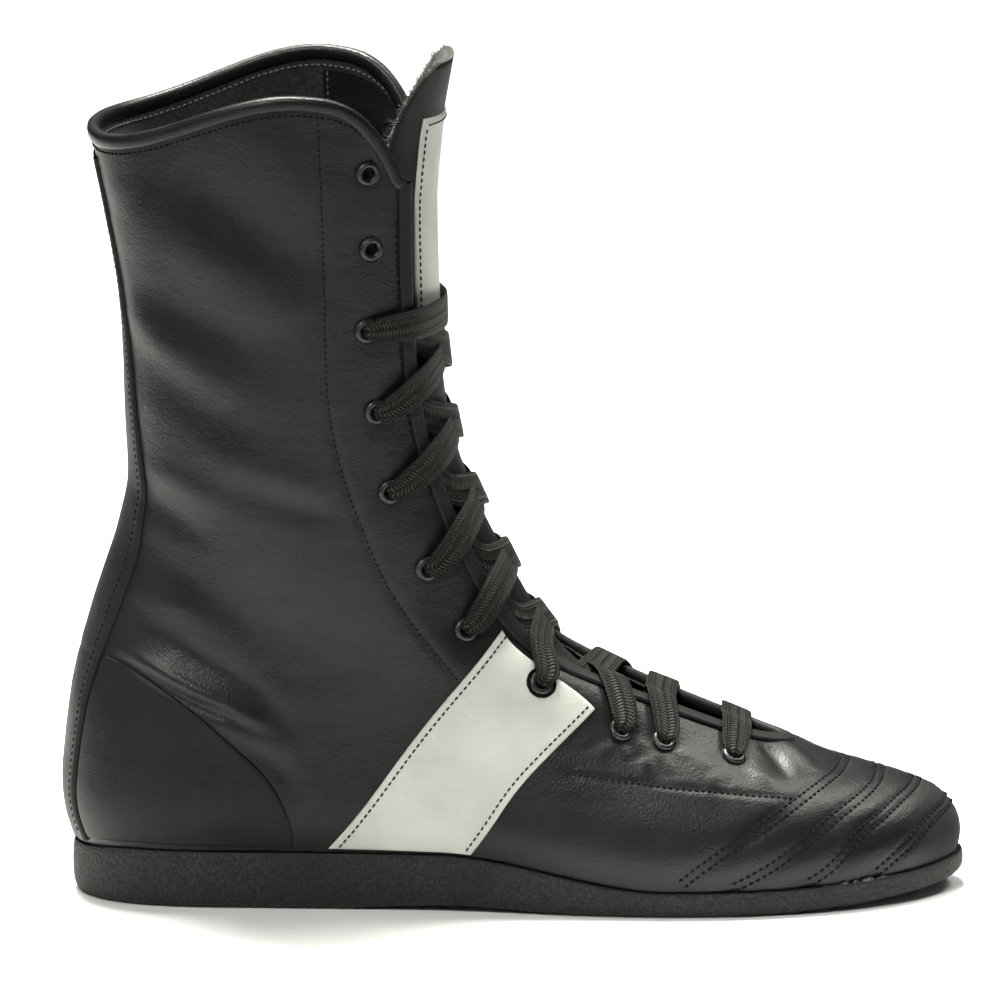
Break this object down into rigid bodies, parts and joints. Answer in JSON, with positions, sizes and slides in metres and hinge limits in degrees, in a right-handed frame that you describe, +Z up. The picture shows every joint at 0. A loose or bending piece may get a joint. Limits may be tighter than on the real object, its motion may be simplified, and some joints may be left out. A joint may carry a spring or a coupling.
{
  "type": "boxing shoe",
  "caption": "High-top boxing shoe in smooth black leather with white side panels, a long laced throat, a stitched toe and a thin rubber wedge sole.",
  "frame": {"origin": "centre of the bounding box at floor level, under the sole", "axes": "+X towards the toe, +Y towards the medial side, +Z up; the lateral side faces -Y"},
  "size_m": [0.2928, 0.0954, 0.2794],
  "materials": {
    "black_leather": "smooth black leather, soft sheen, creased at the ankle",
    "white_leather": "off-white leather, matte, slightly soiled",
    "rubber_sole": "matte black rubber with a fine granular side",
    "lace_cord": "flat woven lace, brown-black with pale flecks",
    "eyelet_black": "black enamelled rings, worn at the rim",
    "lining": "dark suede lining with pale stitches",
    "stitch_thread": "waxed thread",
    "insole_board": "dark matte sock liner"
  },
  "bodies": {
    "root": {"outsole": "rubber_sole", "upper": "black_leather", "insole": "insole_board", "tongue": "black_leather", "tongue_patch": "white_leather", "collar_binding": "black_leather", "throat_binding": "black_leather", "backstay": "black_leather", "counter_lateral": "black_leather", "counter_medial": "black_leather", "saddle_lateral": "white_leather", "saddle_medial": "white_leather", "eyelet_lateral_01": "eyelet_black", "eyelet_lateral_02": "eyelet_black", "eyelet_lateral_03": "eyelet_black", "eyelet_lateral_04": "eyelet_black", "eyelet_lateral_05": "eyelet_black", "eyelet_lateral_06": "eyelet_black", "eyelet_lateral_07": "eyelet_black", "eyelet_lateral_08": "eyelet_black", "eyelet_lateral_09": "eyelet_black", "eyelet_lateral_10": "eyelet_black", "eyelet_lateral_11": "eyelet_black", "eyelet_medial_01": "eyelet_black", "eyelet_medial_02": "eyelet_black", "eyelet_medial_03": "eyelet_black", "eyelet_medial_04": "eyelet_black", "eyelet_medial_05": "eyelet_black", "eyelet_medial_06": "eyelet_black", "eyelet_medial_07": "eyelet_black", "eyelet_medial_08": "eyelet_black", "eyelet_medial_09": "eyelet_black", "eyelet_medial_10": "eyelet_black", "eyelet_medial_11": "eyelet_black", "lace_bar_top": "lace_cord", "lace_bar_bottom": "lace_cord", "lace_cross_1": "lace_cord", "lace_cross_2": "lace_cord", "lace_cross_3": "lace_cord", "lace_cross_4": "lace_cord", "lace_cross_5": "lace_cord", "lace_cross_6": "lace_cord", "lace_cross_7": "lace_cord"}
  },
  "joints": []
}
